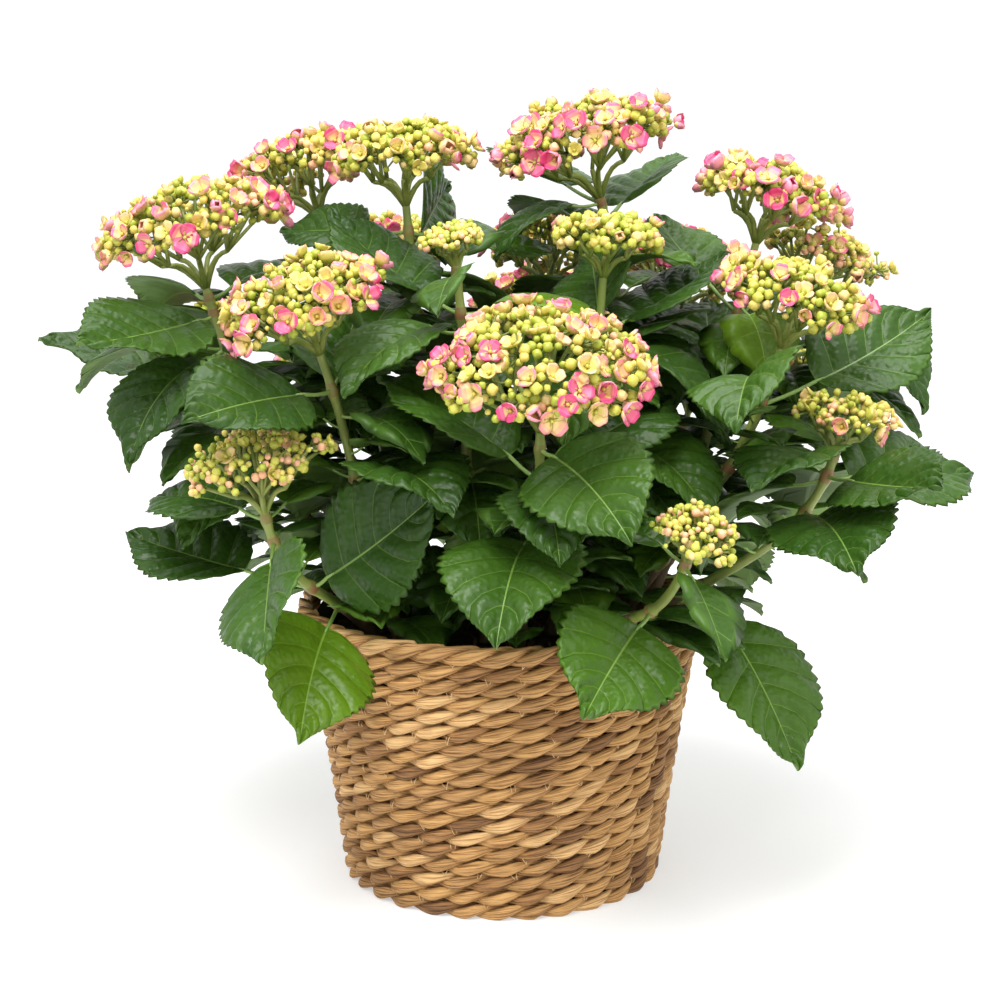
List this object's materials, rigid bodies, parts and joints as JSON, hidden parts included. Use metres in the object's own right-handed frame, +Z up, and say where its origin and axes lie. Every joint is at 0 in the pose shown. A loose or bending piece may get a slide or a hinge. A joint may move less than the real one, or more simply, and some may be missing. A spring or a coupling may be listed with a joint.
{
  "type": "potted hydrangea shrub",
  "caption": "Rounded flowering shrub with broad leaves in pairs and domed flower heads, growing from soil in a tapered woven rope basket.",
  "frame": {"origin": "centre of the basket's flat underside, on the floor", "axes": "+Z up along the basket's axis; -Y towards the viewer in front, +X to the viewer's right"},
  "size_m": [0.6629, 0.5991, 0.5366],
  "materials": {
    "woven_rope": "dry woven plant fibre",
    "peat": "moist, crumbly",
    "bark": "matt, ridged lengthwise",
    "leaf": "glossy leaves, matt blossom"
  },
  "bodies": {
    "root": {"basket": "woven_rope", "soil": "peat", "cane_left_low": "bark", "cane_front": "bark", "cane_front_left": "bark", "cane_left": "bark", "cane_right_low": "bark", "cane_front_low": "bark", "cane_centre": "bark", "cane_right": "bark", "cane_top": "bark", "cane_top_left": "bark", "cane_top_right": "bark", "cane_centre_bud": "bark", "cane_left_rear": "bark", "cane_right_rear": "bark", "cane_rear_left": "bark", "cane_rear_top_left": "bark", "cane_rear_top": "bark", "cane_rear_top_right": "bark", "cane_rear_right": "bark", "cane_rear_low_left": "bark", "cane_rear_low": "bark", "cane_rear_low_right": "bark", "shoot_left_low": "leaf", "shoot_front": "leaf", "shoot_front_left": "leaf", "shoot_left": "leaf", "shoot_right_low": "leaf", "shoot_front_low": "leaf", "shoot_centre": "leaf", "shoot_right": "leaf", "shoot_top": "leaf", "shoot_top_left": "leaf", "shoot_top_right": "leaf", "shoot_centre_bud": "leaf", "shoot_left_rear": "leaf", "shoot_right_rear": "leaf", "shoot_rear_left": "leaf", "shoot_rear_top_left": "leaf", "shoot_rear_top": "leaf", "shoot_rear_top_right": "leaf", "shoot_rear_right": "leaf", "shoot_rear_low_left": "leaf", "shoot_rear_low": "leaf", "shoot_rear_low_right": "leaf"}
  },
  "joints": []
}
